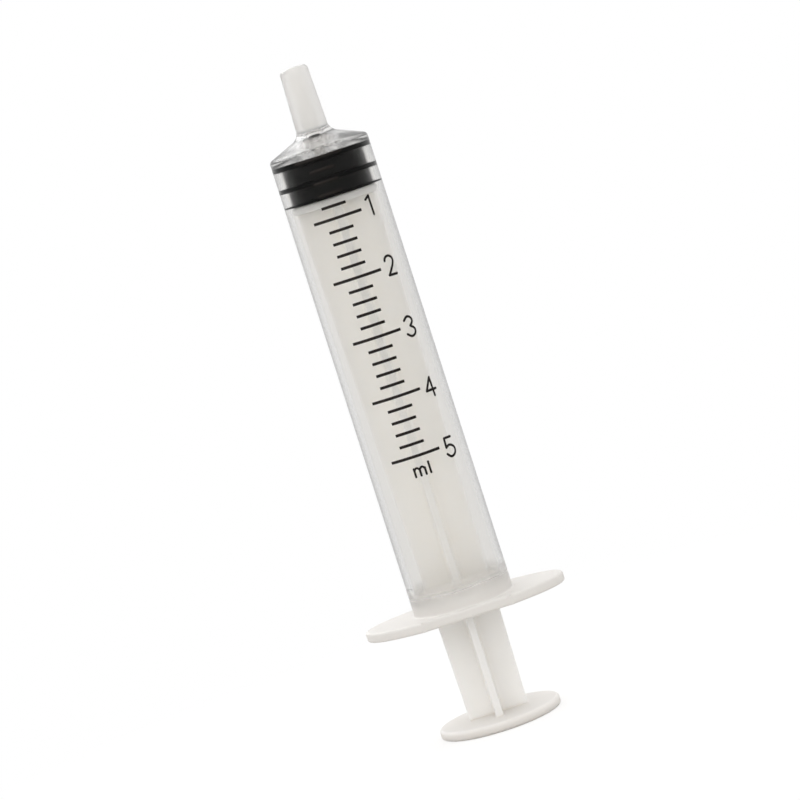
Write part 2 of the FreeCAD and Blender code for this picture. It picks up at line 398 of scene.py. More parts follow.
@dataclass(frozen=True)
class ClearPolypropylene:
    """Clarified polypropylene, injection moulded in a polished tool.

    The shoulder is glassy and bends what lies behind it. The tube is clear, with long faint flow marks. The
    nozzle is a little milky and the flange is milky all through.
    """

    tint: str = "#fcfbf9"
    dull_tint: str = "#e8e5e1"  # the nozzle and the flange are thick and a little milky
    mirror: str = "#7c7c7c"  # how much of the room its face gives back
    ior: float = 1.49
    # Heights from which and to which the flange, the shoulder and the nozzle take over
    meetings: tuple[tuple[float, float], ...] = ((21.5, 17.4), (79.0, 81.0), (84.2, 85.2))
    # Of the flange, the tube, the shoulder and the nozzle
    polish: tuple[float, float, float, float] = (0.50, 0.12, 0.16, 0.38)
    clearness: tuple[float, float, float, float] = (0.15, 1.0, 1.0, 0.75)
    dulness: tuple[float, float, float, float] = (1.0, 0.0, 0.0, 0.15)
    flow_mark_mm: float = 5.0
    flow_stretch: float = 0.2
    flow_spread: float = 0.03

    def blend(self, tree: Tree, values: Sequence[float], shares: Sequence[Socket]) -> Socket:
        """Blends a value from part to part of the barrel.

        Args:
            tree: The node tree.
            values: The value of the flange, the tube, the shoulder and the nozzle.
            shares: The shares of the flange, the shoulder and the nozzle.

        Returns:
            The socket of the blended value.
        """
        flange, tube, shoulder, nozzle = values
        blended = None
        for value, share in zip((flange, shoulder, nozzle), shares):
            mix = add_node(tree, "Mix", {"A": tube, "B": value}, {"Factor": share})
            if blended:
                tree.links.new(blended, mix.inputs["A"])
            blended = mix.outputs[0]
        return blended

    def make(self) -> Material:
        """Builds the material."""
        material, tree, surface = blank_material("clear_polypropylene")
        spot = add_node(tree, "TexCoord")
        parts = add_node(tree, "SeparateXYZ", {}, {0: spot.outputs["Object"]})
        shares = [
            add_node(
                tree, "MapRange", {"From Min": start * MM, "From Max": end * MM},
                {"Value": parts.outputs["Z"]},
            ).outputs["Result"]
            for start, end in self.meetings
        ]
        polish = self.blend(tree, self.polish, shares)
        clear = self.blend(tree, self.clearness, shares)
        colour = mix_colours(tree, self.tint, self.dull_tint, self.blend(tree, self.dulness, shares))
        along = add_node(
            tree, "Mapping", {"Scale": (1, 1, self.flow_stretch)},
            {"Vector": spot.outputs["Object"]},
        )
        flow = add_node(
            tree, "TexNoise", {"Scale": 1 / (self.flow_mark_mm * MM), "Detail": 2.0},
            {"Vector": along.outputs["Vector"]},
        )
        marks = add_node(
            tree, "MapRange", {"To Min": -self.flow_spread, "To Max": self.flow_spread},
            {"Value": flow.outputs["Fac"]},
        )
        haze = add_node(tree, "Math", {}, {0: polish, 1: marks.outputs[0]}, operation="ADD")
        shader = add_node(
            tree, "BsdfPrincipled",
            {"IOR": self.ior, "Specular Tint": linear(self.mirror)},
            {"Base Color": colour, "Roughness": haze.outputs[0], "Transmission Weight": clear},
        )
        tree.links.new(shader.outputs["BSDF"], surface)
        return material


@dataclass(frozen=True)
class MilkyPolypropylene:
    """Natural polypropylene, injection moulded with a satin tool finish.

    It is milky: light passes the thin ribs and gets lost along them. The thicker thumb rest and disc look a
    little darker and browner: partly the thick plastic's own warmer tone, partly painted shade on the thumb
    rest.
    """

    colour: str = "#f6f4f1"
    cloudy: str = "#f1efeb"
    # painted shade: the thumb rest and disc take this darker, browner colour, partly for their thicker
    # plastic, partly as painted shade on the rest's side
    thick_and_shaded: str = "#ebe5df"
    rest_to: float = 1.2  # heights at which the thumb rest, the thin ribs and the disc meet
    ribs_from: float = 1.8
    ribs_to: float = 75.7
    disc_from: float = 76.2
    cloud_mm: float = 3.0
    cloud_spread: float = 0.06
    clear_share: float = 0.15
    roughness: float = 0.5
    ior: float = 1.49
    mirror: str = "#a0a0a0"
    scatter_mm: float = 2.5
    scatter_colour: tuple[float, float, float] = (1.0, 0.97, 0.93)

    def make(self) -> Material:
        """Builds the material."""
        material, tree, surface = blank_material("milky_polypropylene")
        spot = add_node(tree, "TexCoord")
        cloud = add_node(
            tree, "TexNoise", {"Scale": 1 / (self.cloud_mm * MM), "Detail": 3.0},
            {"Vector": spot.outputs["Object"]},
        )
        parts = add_node(tree, "SeparateXYZ", {}, {0: spot.outputs["Object"]})
        above_rest = add_node(
            tree, "MapRange", {"From Min": self.rest_to * MM, "From Max": self.ribs_from * MM},
            {"Value": parts.outputs["Z"]},
        )
        # 1 on the thin ribs, 0 on the thumb rest and disc, which get the darker colour with painted shade
        thin_unshaded = add_node(
            tree, "MapRange",
            {"From Min": self.ribs_to * MM, "From Max": self.disc_from * MM, "To Max": 0.0},
            {"Value": parts.outputs["Z"], "To Min": above_rest.outputs["Result"]},
        )
        colour = mix_colours(tree, self.colour, self.cloudy, cloud.outputs["Fac"])
        # painted shade: the thumb rest and disc are coloured darker and browner than the ribs
        colour = mix_colours(tree, self.thick_and_shaded, colour, thin_unshaded.outputs["Result"])
        satin = add_node(
            tree, "MapRange",
            {"To Min": self.roughness - self.cloud_spread, "To Max": self.roughness + self.cloud_spread},
            {"Value": cloud.outputs["Fac"]},
        )
        shader = add_node(
            tree, "BsdfPrincipled",
            {
                "IOR": self.ior, "Transmission Weight": self.clear_share,
                "Specular Tint": linear(self.mirror), "Subsurface Weight": 1.0,
                "Subsurface Radius": self.scatter_colour, "Subsurface Scale": self.scatter_mm * MM,
            },
            {"Base Color": colour, "Roughness": satin.outputs["Result"]},
        )
        tree.links.new(shader.outputs["BSDF"], surface)
        return material


@dataclass(frozen=True)
class DarkFinish:
    """A nearly black surface with a faint, slightly uneven sheen."""

    name: str
    colour: str
    worn: str  # its colour where it is wiped or thin
    grain_mm: float
    detail: float
    gloss: float
    roughness: float

    def make(self) -> Material:
        """Builds the material."""
        material, tree, surface = blank_material(self.name)
        spot = add_node(tree, "TexCoord")
        grain = add_node(
            tree, "TexNoise", {"Scale": 1 / (self.grain_mm * MM), "Detail": self.detail},
            {"Vector": spot.outputs["Object"]},
        )
        shader = add_node(
            tree, "BsdfPrincipled", {"Roughness": self.roughness, "Specular IOR Level": self.gloss},
            {"Base Color": mix_colours(tree, self.colour, self.worn, grain.outputs["Fac"])},
        )
        tree.links.new(shader.outputs["BSDF"], surface)
        return material


@dataclass(frozen=True)
class SiliconedRubber(DarkFinish):
    """Black butyl rubber, moulded and wiped with silicone oil."""

    name: str = "siliconed_rubber"
    colour: str = "#090909"
    worn: str = "#131313"
    grain_mm: float = 0.5
    detail: float = 4.0
    gloss: float = 0.1
    roughness: float = 0.45


@dataclass(frozen=True)
class PrintedInk(DarkFinish):
    """Black pad-printed ink: nearly matt, and a little brown where the film is thin."""

    name: str = "printed_ink"
    colour: str = "#14100e"
    worn: str = "#241d19"
    grain_mm: float = 0.4
    detail: float = 2.0
    gloss: float = 0.25
    roughness: float = 0.55


# Pieces

@dataclass
class Barrel:
    """Barrel, shoulder, nozzle and finger flange: one clear moulding."""

    bore_radius: float = 6.15
    radius_at_flange: float = 7.03
    radius_at_shoulder: float = 6.92
    bore_length: float = 65.40
    end_wall: float = 1.02
    end_cone_slope: float = 12.0
    shoulder_rounding: float = 0.60
    mouth_chamfer: float = 0.30
    bead_height: float = 0.18
    bead_length: float = 1.20
    bead_ramp: float = 0.40  # length of each of its slopes
    bead_above_mouth: float = 2.20
    nozzle_length: float = 9.35
    nozzle_tip_radius: float = 1.95
    nozzle_taper: float = 0.06
    nozzle_bore_radius: float = 1.05
    nozzle_bore_bevel: float = 0.15
    tip_rounding: float = 0.65
    root_fillet: float = 1.50
    bore_corner_rounding: float = 0.25
    bead_rounding: float = 0.90
    flange_thickness: float = 1.40
    flange_oval_past_flat: float = 0.95
    flange_corner_reach: float = 0.25
    flange_edge_rounding: float = 0.38
    flange_root_fillet: float = 0.25
    flat_least_turn: float = 8.0  # degrees that the rim turns at least where a flat meets the oval
    ring_steps: int = 6  # strips across a turned rounding
    rim_steps: int = 5  # and across one of the flange's
    finish: ClearPolypropylene = ClearPolypropylene()

    @cached_property
    def flange_top(self) -> float:
        """Height of the flange's upper face."""
        return millimetres("barrel")[0].z + self.flange_thickness

    @cached_property
    def shoulder(self) -> float:
        """Height at which the tube ends."""
        return millimetres("barrel")[0].z + self.bore_length + self.end_wall

    def radius_at(self, height: float) -> float:
        """The tube's outer radius at a height."""
        share = (height - self.flange_top) / (self.shoulder - self.flange_top)
        return self.radius_at_flange + (self.radius_at_shoulder - self.radius_at_flange) * share

    def rings(self) -> list[Ring]:
        """The outline from the mouth round the flange, up the outside and down the bore."""
        low, high = millimetres("barrel")
        mouth, tip = low.z, high.z
        bore_end = mouth + self.bore_length
        root_radius = self.nozzle_tip_radius + self.nozzle_taper / 2 * self.nozzle_length
        root = tip - self.nozzle_length
        cone_top = bore_end + (self.bore_radius - self.nozzle_bore_radius) * math.tan(
            math.radians(self.end_cone_slope)
        )
        oval_wide = min(high.x, -low.x)
        oval_deep = high.y + self.flange_oval_past_flat
        bead = self.bore_radius - self.bead_height
        bead_low = mouth + self.bead_above_mouth
        bead_high = bead_low + self.bead_length
        bevel = self.nozzle_bore_bevel
        return [
            Ring(self.bore_radius + self.mouth_chamfer, mouth),
            Ring(oval_wide, mouth, deep=oval_deep),
            Ring(oval_wide, self.flange_top, deep=oval_deep),
            Ring(self.radius_at_flange, self.flange_top, self.flange_root_fillet),
            Ring(self.radius_at_shoulder, self.shoulder, self.shoulder_rounding),
            Ring(root_radius, root, self.root_fillet),
            Ring(self.nozzle_tip_radius, tip, self.tip_rounding),
            Ring(self.nozzle_bore_radius + bevel, tip),
            Ring(self.nozzle_bore_radius, tip - bevel),
            Ring(self.nozzle_bore_radius, cone_top),
            Ring(self.bore_radius, bore_end, self.bore_corner_rounding),
            Ring(self.bore_radius, bead_high, self.bead_rounding),
            Ring(bead, bead_high - self.bead_ramp, self.bead_rounding),
            Ring(bead, bead_low + self.bead_ramp, self.bead_rounding),
            Ring(self.bore_radius, bead_low, self.bead_rounding),
            Ring(self.bore_radius, mouth + self.mouth_chamfer),
        ]

    def cut_flats(self, piece: Piece) -> None:
        """Cuts the flange's two flat sides and rounds their corners and the flange's edges.

        Args:
            piece: The barrel, open in edit mode.
        """
        low, high = millimetres("barrel")
        for side in (-1, 1):
            bpy.ops.mesh.select_all(action="SELECT")
            bpy.ops.mesh.bisect(
                plane_co=(0, side * high.y, 0), plane_no=(0, side, 0), use_fill=True, clear_outer=True,
                threshold=NEAR / 10,
            )

        def is_upright_corner(edge: Edge) -> bool:
            """True for the four upright edges where a flat meets the oval."""
            first, second = edge.verts
            stands = abs(first.co.z - second.co.z) > self.flange_thickness / 2
            turns = edge.calc_face_angle(0) > math.radians(self.flat_least_turn)
            return stands and turns and abs(abs(first.co.y) - high.y) < NEAR

        def is_rim(edge: Edge) -> bool:
            """True for the flange's outer edges, on top and below."""
            level = any(all(abs(v.co.z - z) < NEAR for v in edge.verts) for z in (low.z, self.flange_top))
            clear_of_tube = self.radius_at_flange + self.flange_root_fillet
            outside = all(v.co.xy.length > clear_of_tube + NEAR for v in edge.verts)
            return level and outside and edge.calc_face_angle(0) > math.radians(CORNER)

        round_off(piece, is_upright_corner, self.flange_corner_reach, self.rim_steps)
        round_off(piece, is_rim, self.flange_edge_rounding, self.rim_steps)

    def build(self) -> None:
        """Models the barrel and sets it in place."""
        rings = self.rings()
        piece = turn("clear_barrel", rings, closed=True)
        self.cut_flats(piece)
        round_rings(piece, rings, self.ring_steps)
        stop_editing()
        finish_piece(piece)
        place(piece, self.finish.make(), Body.BARREL, Slot.BARREL, "barrel")


@dataclass
class Stopper:
    """Black rubber stopper: two sealing ribs, a waist, a thin rear lip and a socket for the rod's stud."""

    barrel: Barrel
    squeeze: float = 0.03  # how far the ribs press into the bore's wall, as the rubber does
    crown: float = 0.28
    waist_radius: float = 5.73
    rib_length: float = 0.68
    rib_spacing: float = 2.93
    rib_rounding: float = 0.12
    lip_length: float = 0.24
    lip_rounding: float = 0.06
    lip_above_rear: float = 0.10
    neck_radius: float = 2.06
    neck_length: float = 1.38
    head_radius: float = 2.96
    head_length: float = 2.22
    head_nose_radius: float = 1.56
    barb_length: float = 0.41
    ring_steps: int = 4
    finish: SiliconedRubber = SiliconedRubber()

    def rings(self) -> list[Ring]:
        """The outline from the socket's end out over the rear face, the ribs and the crown."""
        low, high = millimetres("stopper")
        rear = low.z
        front = high.z - self.crown
        rib = self.barrel.bore_radius + self.squeeze
        waist = self.waist_radius
        neck_top = rear + self.neck_length
        lip_low = rear + self.lip_above_rear
        middle_low = front - self.rib_spacing - self.rib_length
        front_low = front - self.rib_length
        return [
            Ring(POLE, neck_top + self.head_length),
            Ring(self.head_nose_radius, neck_top + self.head_length),
            Ring(self.head_radius, neck_top + self.barb_length),
            Ring(self.head_radius, neck_top),
            Ring(self.neck_radius, neck_top),
            Ring(self.neck_radius, rear),
            Ring(waist, rear),
            Ring(waist, lip_low),
            Ring(rib, lip_low, self.lip_rounding),
            Ring(rib, lip_low + self.lip_length, self.lip_rounding),
            Ring(waist, lip_low + self.lip_length, self.rib_rounding),
            Ring(waist, middle_low, self.rib_rounding),
            Ring(rib, middle_low, self.rib_rounding),
            Ring(rib, middle_low + self.rib_length, self.rib_rounding),
            Ring(waist, middle_low + self.rib_length, self.rib_rounding),
            Ring(waist, front_low, self.rib_rounding),
            Ring(rib, front_low, self.rib_rounding),
            Ring(rib, front, self.rib_rounding),
            Ring(POLE, high.z),
        ]

    def build(self) -> None:
        """Models the stopper and sets it in place."""
        rings = self.rings()
        piece = turn("rubber_stopper", rings, closed=False)
        round_rings(piece, rings, self.ring_steps)
        stop_editing()
        finish_piece(piece)
        place(piece, self.finish.make(), Body.STOPPER, Slot.RUBBER, "stopper")


@dataclass
class PlungerRod:
    """Thumb rest, cross-shaped rod, front disc and barbed stud: one milky moulding."""

    rest_thickness: float = 1.35
    rest_rounding: float = 0.45
    rib_thickness: float = 1.05
    rib_width_at_rest: float = 8.32
    rib_spread: float = 0.0360
    core_fillet: float = 0.40
    rib_edge_rounding: float = 0.18
    rib_root_fillet: float = 0.18
    disc_thickness: float = 1.00
    disc_radius: float = 5.91
    disc_rounding: float = 0.15
    neck_radius: float = 2.00
    neck_length: float = 1.50
    head_radius: float = 2.90
    head_length: float = 2.10
    head_nose_radius: float = 1.50
    barb_length: float = 0.35
    rest_steps: int = 6  # strips across the roundings of the rest, the disc, the core and the ribs
    disc_steps: int = 3
    core_steps: int = 5
    rib_steps: int = 3
    finish: MilkyPolypropylene = MilkyPolypropylene()

    @property
    def disc_top(self) -> float:
        """Height of the front disc's upper face."""
        return millimetres("plunger_rod")[1].z - self.neck_length - self.head_length

    @property
    def disc_bottom(self) -> float:
        """Height of the front disc's lower face."""
        return self.disc_top - self.disc_thickness

    def thumb_rest(self) -> Piece:
        """Models the round plate that the thumb presses on."""
        low, high = millimetres("plunger_rod")
        rings = [
            Ring(POLE, low.z),
            Ring(high.x, low.z, self.rest_rounding),
            Ring(high.x, low.z + self.rest_thickness, self.rest_rounding),
            Ring(POLE, low.z + self.rest_thickness),
        ]
        piece = turn("plunger_rod_and_rest", rings, closed=False)
        round_rings(piece, rings, self.rest_steps)
        select(piece, "FACE", lambda face: abs(face.normal.z) > FACING)
        bpy.ops.mesh.dissolve_faces()
        stop_editing()
        return piece

    def front(self) -> Piece:
        """Models the front disc with the barbed stud on it."""
        top = self.disc_top
        neck_top = top + self.neck_length
        rings = [
            Ring(POLE, self.disc_bottom),
            Ring(self.disc_radius, self.disc_bottom, self.disc_rounding),
            Ring(self.disc_radius, top, self.disc_rounding),
            Ring(self.neck_radius, top),
            Ring(self.neck_radius, neck_top),
            Ring(self.head_radius, neck_top),
            Ring(self.head_radius, neck_top + self.barb_length),
            Ring(self.head_nose_radius, neck_top + self.head_length),
            Ring(POLE, neck_top + self.head_length),
        ]
        piece = turn("front_disc", rings, closed=False)
        round_rings(piece, rings, self.disc_steps)
        stop_editing()
        return piece

    def cross(self) -> Piece:
        """Models the four tapered ribs as arms pulled out of a square core."""
        half = self.rib_thickness / 2
        bottom = self.rest_thickness / 2
        top = self.disc_bottom + self.disc_thickness / 2
        low = self.rib_width_at_rest / 2 - self.rib_spread / 2 * (self.rest_thickness - bottom)
        high = low + self.rib_spread / 2 * (top - bottom)
        bpy.ops.object.select_all(action="DESELECT")
        bpy.ops.mesh.primitive_cube_add(size=1, location=(0, 0, (bottom + top) / 2))
        piece = bpy.context.object
        piece.scale = (self.rib_thickness, self.rib_thickness, top - bottom)
        bpy.ops.object.transform_apply(location=True, rotation=False, scale=True)
        start_editing(piece)
        for way in (Vector((1, 0, 0)), Vector((-1, 0, 0)), Vector((0, 1, 0)), Vector((0, -1, 0))):
            across = Vector((way.y, way.x, 0))
            select(piece, "FACE", lambda face: (
                face.normal.dot(way) > FACING and abs(face.calc_center_median().dot(across)) < NEAR
            ))
            bpy.ops.mesh.extrude_region_move(TRANSFORM_OT_translate={"value": way * (low - half)})
            select(piece, "EDGE", lambda edge: all(
                v.co.dot(way) > low - NEAR and v.co.z > top - NEAR for v in edge.verts
            ))
            bpy.ops.transform.translate(value=way * (high - low))

        def is_upright(edge: Edge) -> bool:
            """True for an edge that runs from end to end of the cross."""
            return abs(edge.verts[0].co.z - edge.verts[1].co.z) > (top - bottom) / 2

        def is_inner(edge: Edge) -> bool:
            """True for the four edges where two arms meet."""
            return is_upright(edge) and all(v.co.xy.length < self.rib_thickness for v in edge.verts)

        def is_outer(edge: Edge) -> bool:
            """True for the arms' outer edges."""
            return is_upright(edge) and all(v.co.xy.length > low - NEAR for v in edge.verts)

        round_off(piece, is_inner, self.core_fillet, self.core_steps)
        round_off(piece, is_outer, self.rib_edge_rounding, self.rib_steps)
        stop_editing()
        return piece

    def build(self) -> None:
        """Models the plunger rod and sets it in place."""
        piece = self.thumb_rest()
        unite(piece, [self.cross(), self.front()])
        start_editing(piece)
        reach = self.rib_width_at_rest / 2 + self.rib_thickness

        def is_foot(edge: Edge) -> bool:
            """True for the edges where the cross stands on the thumb rest."""
            level = all(abs(v.co.z - self.rest_thickness) < NEAR for v in edge.verts)
            near = all(NEAR < v.co.xy.length < reach for v in edge.verts)
            return level and near and edge.calc_face_angle(0) > math.radians(CORNER)

        round_off(piece, is_foot, self.rib_root_fillet, self.rib_steps)
        stop_editing()
        finish_piece(piece)
        place(piece, self.finish.make(), Body.PLUNGER, Slot.ROD, "plunger_rod")


@dataclass(frozen=True)
class Stroke:
    """One pen stroke of a printed sign, in millimetres from the sign's own place.

    Args:
        points: Points that the pen passes, across and up.
        smooth: True rounds the stroke through its points, False keeps it straight between them.
    """

    points: tuple[tuple[float, float], ...]
    smooth: bool = False


# Plain numbers in one even stroke, each from the height of its own line
NUMBERS: dict[int, tuple[Stroke, ...]] = {
    1: (Stroke(((-0.63, 1.11), (0.0, 1.53), (0.04, -1.08))),),
    2: (
        Stroke(
            ((-0.71, 0.92), (-0.56, 1.25), (-0.09, 1.48), (0.46, 1.28), (0.68, 0.84), (0.51, 0.32),
             (-0.06, -0.43), (-0.62, -1.11)),
            smooth=True,
        ),
        Stroke(((-0.62, -1.11), (0.74, -1.15))),
    ),
    3: (
        Stroke(((-0.68, 0.91), (0.04, 1.33), (0.67, 0.70), (0.09, 0.02)), smooth=True),
        Stroke(((0.09, 0.02), (0.77, -0.68), (0.01, -1.39), (-0.75, -0.97)), smooth=True),
    ),
    4: (
        Stroke(((0.43, 1.05), (-0.64, -0.65), (1.06, -0.65))),
        Stroke(((0.43, 1.05), (0.52, -1.51))),
    ),
    5: (
        Stroke(((0.81, 0.97), (-0.34, 0.99), (-0.41, -0.30))),
        Stroke(((-0.41, -0.30), (0.23, -0.07), (1.03, -0.82), (0.15, -1.65), (-0.54, -1.17)), smooth=True),
    ),
}

# The unit ml, from the middle of the last line
UNIT: tuple[Stroke, ...] = (
    Stroke(((-0.96, -1.61), (-0.96, -2.73))),
    Stroke(((-0.21, -1.79), (-0.21, -2.72))),
    Stroke(((0.52, -1.79), (0.52, -2.72))),
    Stroke(((-0.96, -1.88), (-0.59, -1.58), (-0.21, -1.87)), smooth=True),
    Stroke(((-0.21, -1.87), (0.15, -1.58), (0.52, -1.87)), smooth=True),
    Stroke(((1.17, -1.18), (1.17, -2.70))),
)


@dataclass
class ScalePrint:
    """The printed scale: 26 lines, the numbers 1 to 5 and the unit ml."""

    barrel: Barrel
    cubic_mm_in_ml: float = 1000.0
    capacity: float = 5.0
    step: float = 0.2
    steps_per_major: int = 5
    major_span: float = 57.5  # degrees
    minor_span: float = 28.3
    centre_turn: float = -2.7
    line_tilt: float = 0.73  # degrees that the lines rise towards the right
    column_lean: float = 0.36  # degrees that the column of lines leans to the left, going up
    line_width: float = 0.40
    bits_per_line: int = 12
    bits_per_bend: int = 6  # between two points of a smooth stroke
    bevel_depth: float = 0.5  # half, so that the radius of a curve's point is the stroke's width
    bevel_steps: int = 2
    number_stroke: float = 0.35
    unit_stroke: float = 0.30
    end_shares: tuple[float, ...] = (0.45, 0.80, 0.97)
    number_turn: float = 39.2  # degrees round to the column of numbers
    ink_thickness: float = 0.03
    ink_bite: float = 0.005  # how deep the ink lies in the wall, so that no gap shows
    finish: PrintedInk = PrintedInk()

    @cached_property
    def middle(self) -> float:
        """Height of the line in the scale's middle."""
        low, high = millimetres("scale_print")
        return (low.z + high.z) / 2

    @cached_property
    def middle_radius(self) -> float:
        """The barrel's outer radius at the scale's middle."""
        return self.barrel.radius_at(self.middle)

    def on_plate(self, across: float, up: float) -> tuple[float, float]:
        """Sets a place of the straight layout askew, as the printing plate touched the barrel.

        Args:
            across: The way round the barrel from its front.
            up: The height.

        Returns:
            The place as it is printed.
        """
        lean = math.tan(math.radians(self.column_lean))
        tilt = math.tan(math.radians(self.line_tilt))
        centre = math.radians(self.centre_turn) * self.middle_radius
        return across - (up - self.middle) * lean, up + (across - centre) * tilt

    def add_line(self, curve: Curve, height: float, span: float) -> None:
        """Adds one square-ended line of the scale to the flat print.

        Args:
            curve: The print's curve.
            height: Its height.
            span: Its length in degrees of the barrel's girth.
        """
        reach = math.radians(span) * self.middle_radius / 2
        centre = math.radians(self.centre_turn) * self.middle_radius
        spline = curve.splines.new("POLY")
        spline.points.add(self.bits_per_line)
        for number, point in enumerate(spline.points):
            across, up = self.on_plate(centre - reach + 2 * reach * number / self.bits_per_line, height)
            point.co = (across, 0, up, 1)
            point.radius = self.line_width

    def round_end(self, end: Vector, inner: Vector, width: float) -> list[tuple[Vector, float]]:
        """The stations of a stroke's round end.

        Args:
            end: The stroke's last full-width point.
            inner: The point before it.
            width: The stroke's width.

        Returns:
            Each station's place and the stroke's width there, going outwards.
        """
        away = (end - inner).normalized() * width / 2
        return [(end + away * share, width * math.sqrt(1 - share ** 2)) for share in self.end_shares]

    def add_stroke(self, curve: Curve, stroke: Stroke, across: float, up: float, width: float) -> None:
        """Adds one stroke of a sign to the flat print, as round-ended splines.

        Args:
            curve: The print's curve.
            stroke: The stroke.
            across: The sign's place, the way round.
            up: The sign's height.
            width: The stroke's width.
        """
        spots = [Vector((across + x, up + y)) for x, y in stroke.points]
        runs = [spots] if stroke.smooth else list(zip(spots, spots[1:]))
        for run in runs:
            before = self.round_end(run[0], run[1], width)
            after = self.round_end(run[-1], run[-2], width)
            stations = before[::-1] + [(spot, width) for spot in run] + after
            spline = curve.splines.new("BEZIER")
            spline.resolution_u = self.bits_per_bend if stroke.smooth else 1
            spline.bezier_points.add(len(stations) - 1)
            for point, (spot, wide) in zip(spline.bezier_points, stations):
                point.co = (spot.x, 0, spot.y)
                point.handle_left_type = point.handle_right_type = "AUTO" if stroke.smooth else "VECTOR"
                point.radius = wide

    def layout(self, curve: Curve) -> None:
        """Lays the whole print out flat: across is the way round the barrel, up is the axis.

        Args:
            curve: The curve that takes the strokes.
        """
        zero = millimetres("scale_print")[1].z - self.line_width / 2
        pitch = self.cubic_mm_in_ml / (math.pi * self.barrel.bore_radius ** 2)
        for number in range(round(self.capacity / self.step) + 1):
            span = self.minor_span if number % self.steps_per_major else self.major_span
            self.add_line(curve, zero - number * self.step * pitch, span)
        column = math.radians(self.number_turn) * self.middle_radius
        for number, strokes in NUMBERS.items():
            for stroke in strokes:
                self.add_stroke(curve, stroke, column, zero - number * pitch, self.number_stroke)
        for stroke in UNIT:
            self.add_stroke(curve, stroke, 0, zero - self.capacity * pitch, self.unit_stroke)

    def build(self) -> None:
        """Models the print flat, bends it round the barrel and sets it in place."""
        curve = bpy.data.curves.new("scale_and_numbers", "CURVE")
        curve.dimensions = "3D"
        curve.bevel_depth = self.bevel_depth
        curve.bevel_resolution = self.bevel_steps
        curve.use_fill_caps = True
        self.layout(curve)
        piece = bpy.data.objects.new("scale_and_numbers", curve)
        bpy.context.scene.collection.objects.link(piece)
        pick(piece)
        bpy.ops.object.convert(target="MESH")
        piece = bpy.context.object
        start_editing(piece)
        bpy.ops.mesh.select_all(action="SELECT")
        bpy.ops.mesh.remove_doubles(threshold=NEAR / 2)
        flat = (self.ink_thickness + self.ink_bite) / self.line_width
        bpy.ops.transform.resize(value=(1, flat, 1), center_override=(0, 0, 0))
        bpy.ops.transform.translate(value=(0, (self.ink_bite - self.ink_thickness) / 2, 0))
        barrel = self.barrel
        draft = math.atan2(
            barrel.radius_at_flange - barrel.radius_at_shoulder, barrel.shoulder - barrel.flange_top
        )
        bpy.ops.transform.rotate(value=draft, orient_axis="X", center_override=(0, 0, self.middle))
        stop_editing()
        piece.location = (0, -self.middle_radius, 0)
        bend = piece.modifiers.new("round the barrel", "SIMPLE_DEFORM")
        bend.deform_method = "BEND"
        bend.deform_axis = "Z"
        bend.angle = piece.dimensions.x / self.middle_radius
        bpy.ops.object.modifier_apply(modifier=bend.name)
        bpy.ops.object.transform_apply(location=True, rotation=False, scale=False)
        finish_piece(piece)
        place(piece, self.finish.make(), Body.BARREL, Slot.INK, "scale_print")


# Studio

@dataclass(frozen=True)
class Ramp:
    """A strength that changes evenly along an axis.

    Args:
        axis: X runs to the right, Y to the back and Z up.
        start: Where the change starts.
        end: Where it ends.
        low: The strength at the start.
        high: The strength at the end.
    """

    axis: str
    start: float
    end: float
    low: float
    high: float

    @property
    def values(self) -> dict[str, float]:
        """The ramp as socket values."""
        return {"From Min": self.start, "From Max": self.end, "To Min": self.low, "To Max": self.high}


